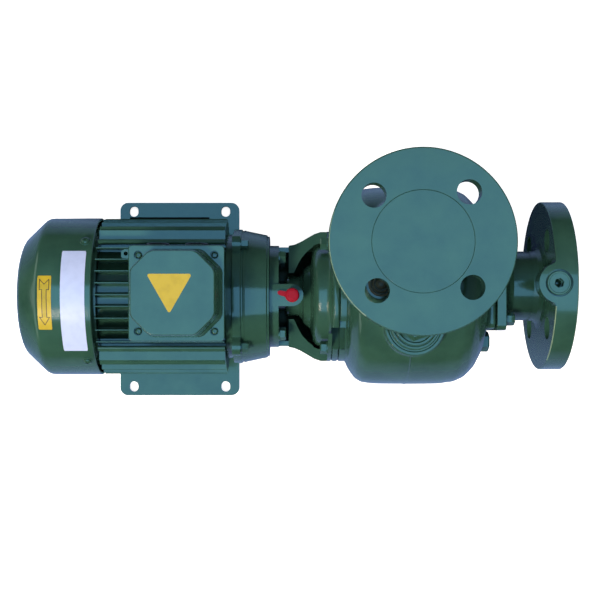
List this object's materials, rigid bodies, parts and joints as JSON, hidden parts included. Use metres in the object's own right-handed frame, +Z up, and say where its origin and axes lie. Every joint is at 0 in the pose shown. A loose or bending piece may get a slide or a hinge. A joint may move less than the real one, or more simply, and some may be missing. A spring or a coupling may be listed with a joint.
{
  "type": "centrifugal cutter pump",
  "caption": "Close-coupled electric cutter pump in green enamel: finned motor, lantern, round casing, flanged ports facing up and along the shaft.",
  "frame": {"origin": "middle of the foot plate's underside, on the upright plane through the shaft, evenly between the four foot slots", "axes": "+X along the shaft from the fan end to the suction flange, +Y across the shaft to the side the discharge flange is offset to, +Z up"},
  "size_m": [0.4804, 0.2099, 0.2274],
  "materials": {
    "green_enamel": "gloss",
    "black_plastic": "satin",
    "red_plastic": "satin",
    "turned_steel": "satin"
  },
  "bodies": {
    "root": {"foot_plate": "green_enamel", "foot_saddle_1": "green_enamel", "foot_saddle_2": "green_enamel", "motor_housing": "green_enamel", "rear_end_shield": "green_enamel", "cooling_fan": "black_plastic", "fan_cowl": "green_enamel", "terminal_box": "green_enamel", "terminal_box_lid": "green_enamel", "cable_entry_plug_1": "black_plastic", "cable_entry_plug_2": "black_plastic", "drive_end_shield": "green_enamel", "lantern": "green_enamel", "lantern_cap": "red_plastic", "pump_shaft": "turned_steel", "casing_cover": "green_enamel", "pump_casing": "green_enamel", "discharge_flange": "green_enamel", "suction_flange": "green_enamel", "discharge_port_disc": "green_enamel", "filling_plug": "green_enamel", "vent_plug": "green_enamel", "drain_plug": "green_enamel", "casing_foot": "green_enamel", "suction_branch": "green_enamel", "suction_port_disc": "green_enamel", "gauge_plug": "green_enamel"}
  },
  "joints": []
}
